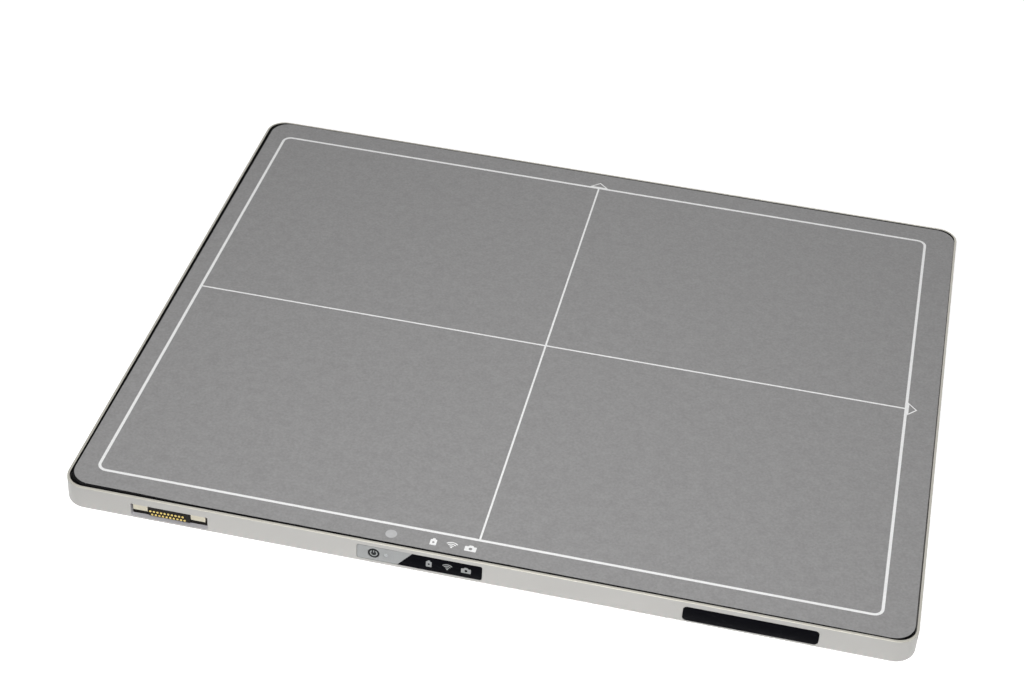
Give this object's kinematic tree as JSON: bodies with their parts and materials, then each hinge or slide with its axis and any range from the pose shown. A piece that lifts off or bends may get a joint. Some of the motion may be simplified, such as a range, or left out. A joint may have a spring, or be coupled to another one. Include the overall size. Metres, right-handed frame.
{
  "type": "flat panel x-ray detector",
  "caption": "Flat wireless x-ray detector plate with a metal rim, grey front face with centre lines, side button, status window, tether socket and rear battery.",
  "frame": {"origin": "centre of the back face, where the detector lies on its back", "axes": "+X along the long edge, +Y away from the wall with the controls, +Z out of the face that takes the x-rays"},
  "size_m": [0.46, 0.384, 0.015],
  "materials": {
    "frame_metal": "bead blasted, clear satin",
    "carbon": "carbon-fibre laminate, black edge",
    "film_grey": "fine matt grey print",
    "gasket_black": "soft foam seal",
    "foam_white": "thin white foam",
    "phosphor_white": "needle phosphor on a carrier",
    "sensor_glass": "thin glass with a photodiode array",
    "lead_grey": "rolled lead foil",
    "plate_metal": "machined",
    "screw_steel": "bright zinc",
    "board_green": "solder mask",
    "chip_black": "moulded package",
    "ribbon_amber": "polyimide ribbon",
    "can_steel": "tinned sheet",
    "pad_blue": "soft thermal pad",
    "lead_wire_black": "thin coaxial lead",
    "cover_grey": "fine textured dark coating",
    "pack_black": "moulded, fine grain",
    "cell_silver": "foil pouch",
    "contact_gold": "gold plated",
    "bay_black": "moulded",
    "lock_grey": "moulded",
    "overlay_silver": "silver printed film",
    "window_black": "smoked window",
    "light_guide": "clear light guide",
    "button_dark": "printed cap",
    "spring_steel": "click dome",
    "connector_black": "moulded insert",
    "magnet_nickel": "plated"
  },
  "bodies": {
    "detector": {"side_frame": "frame_metal", "front_panel": "carbon", "front_film": "film_grey", "panel_gasket": "gasket_black", "front_cushion": "foam_white", "scintillator": "phosphor_white", "sensor_glass": "sensor_glass", "lead_shield": "lead_grey", "base_plate": "plate_metal", "base_plate_screws": "screw_steel", "readout_ribbons": "ribbon_amber", "readout_chips": "chip_black", "readout_board": "board_green", "gate_ribbons": "ribbon_amber", "gate_chips": "chip_black", "gate_board": "board_green", "main_board": "board_green", "main_chips": "chip_black", "shield_can": "can_steel", "thermal_pads": "pad_blue", "power_board": "board_green", "power_parts": "chip_black", "radio_module": "can_steel", "antenna_cables": "lead_wire_black", "antenna_boards": "board_green", "board_standoffs": "screw_steel", "board_screws": "screw_steel", "link_cables": "ribbon_amber", "rear_cover": "cover_grey", "rear_gasket": "gasket_black", "rear_cover_screws": "screw_steel", "battery_bay": "bay_black", "bay_contacts": "contact_gold", "control_overlay": "overlay_silver", "status_window": "window_black", "status_light_guides": "light_guide", "status_leds": "light_guide", "button_seal": "gasket_black", "button_dome": "spring_steel", "power_led_lens": "light_guide", "control_board": "board_green", "antenna_window": "window_black", "connector_body": "connector_black", "contact_pins": "contact_gold", "connector_magnets": "magnet_nickel", "connector_board": "board_green"},
    "power_button": {"power_button": "button_dark"},
    "battery_pack": {"battery_plate": "pack_black", "battery_case": "pack_black", "battery_end_bars": "pack_black", "battery_lid": "pack_black", "battery_seal": "gasket_black", "battery_cells": "cell_silver", "battery_board": "board_green", "battery_contacts": "contact_gold"},
    "lock_left": {"battery_lock_left": "screw_steel", "battery_grip_left": "lock_grey"},
    "lock_right": {"battery_lock_right": "screw_steel", "battery_grip_right": "lock_grey"}
  },
  "joints": [
    {"name": "power_button_press", "type": "slide", "parent": "detector", "child": "power_button", "axis": [0, 1, 0], "range_m": [0, 0.00035], "stiffness_N_per_m": 4000, "deforming": ["button_dome"]},
    {"name": "battery_release", "type": "slide", "parent": "detector", "child": "battery_pack", "axis": [0, 0, -1], "range_m": [0, 0.012]},
    {"name": "lock_left_close", "type": "slide", "parent": "detector", "child": "lock_left", "axis": [1, 0, 0], "range_m": [0, 0.003]},
    {"name": "lock_right_close", "type": "slide", "parent": "detector", "child": "lock_right", "axis": [-1, 0, 0], "range_m": [0, 0.003]}
  ]
}
